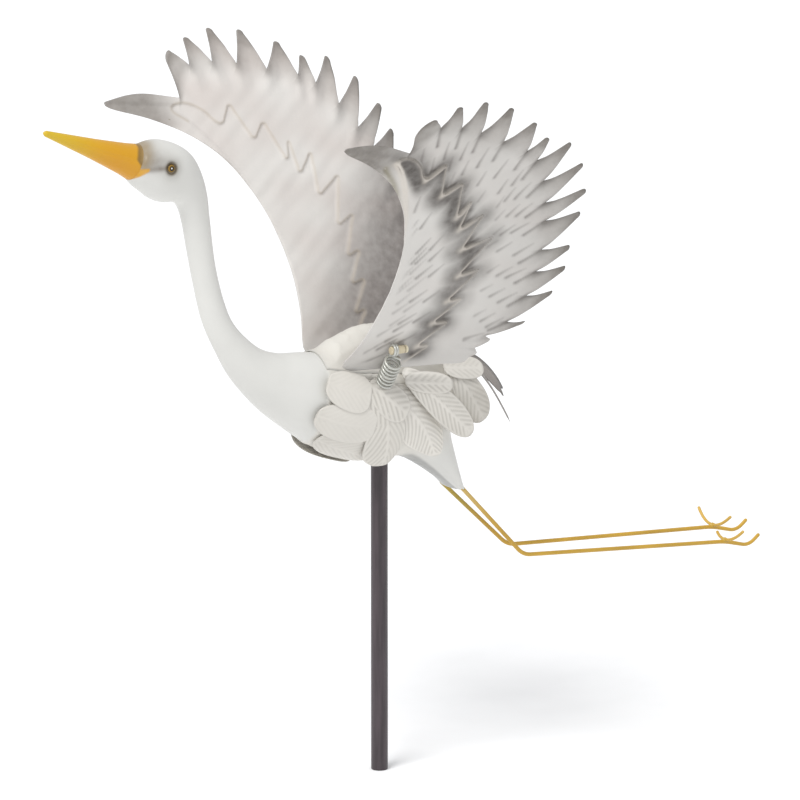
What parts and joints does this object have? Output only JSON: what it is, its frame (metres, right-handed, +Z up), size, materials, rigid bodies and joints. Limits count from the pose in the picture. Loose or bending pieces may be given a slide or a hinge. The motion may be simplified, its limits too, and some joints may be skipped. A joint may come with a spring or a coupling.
{
  "type": "egret yard stake",
  "caption": "Sheet-metal egret in flight on a garden stake, its spiked upswept wings carried on coil springs and its wire legs trailing behind.",
  "frame": {"origin": "centre of the stake's cut foot, where it meets the ground", "axes": "+Z up along the stake, -X the way the bird faces, -Y its left side"},
  "size_m": [0.8129, 0.402, 0.691],
  "materials": {
    "stake": "satin dark brown-grey paint",
    "shell": "satin off-white paint",
    "plumage": "satin cream paint with fine engraved barbs",
    "wing": "satin off-white paint, brushed grey-brown towards the tips",
    "stud": "satin beige paint",
    "spring": "bare wire touched by white paint",
    "bill": "gloss yellow, orange at the base",
    "eye": "glossy gold-brown with a dark pupil",
    "leg": "satin mustard yellow paint"
  },
  "bodies": {
    "bird": {"pole": "stake", "body": "shell", "bill": "bill", "back_plate": "shell", "eye_left": "eye", "eye_right": "eye", "spring_left": "spring", "spring_right": "spring", "scale_shoulder_left": "plumage", "scale_shoulder_right": "plumage", "scale_breast_left": "plumage", "scale_breast_right": "plumage", "scale_belly_left": "plumage", "scale_belly_right": "plumage", "leaf_side_upper_left": "plumage", "leaf_side_upper_right": "plumage", "leaf_side_lower_left": "plumage", "leaf_side_lower_right": "plumage", "scale_rear_left": "plumage", "scale_rear_right": "plumage", "leaf_thigh_left": "plumage", "leaf_thigh_right": "plumage", "fan_lower_left": "plumage", "fan_lower_right": "plumage", "fan_rear_left": "plumage", "fan_rear_right": "plumage", "fan_upper_left": "plumage", "fan_upper_right": "plumage", "fan_top_left": "plumage", "fan_top_right": "plumage", "tail_left": "plumage", "tail_right": "plumage", "leg_left": "leg", "leg_right": "leg", "toes_left": "leg", "toes_right": "leg"},
    "left_wing": {"wing_left": "wing", "stud_left": "stud"},
    "right_wing": {"wing_right": "wing", "stud_right": "stud"}
  },
  "joints": [
    {"name": "left_wing_sway", "type": "hinge", "parent": "bird", "child": "left_wing", "pos_m": [-0.021, -0.046, 0.394], "axis": [1, 0, 0], "range_deg": [-7, 7], "stiffness_Nm_per_rad": 1, "springref_deg": -3.44, "deforming": ["spring_left"]},
    {"name": "right_wing_sway", "type": "hinge", "parent": "bird", "child": "right_wing", "pos_m": [-0.021, 0.046, 0.399], "axis": [1, 0, 0], "range_deg": [-7, 7], "stiffness_Nm_per_rad": 1, "springref_deg": 2.86, "deforming": ["spring_right"]}
  ]
}
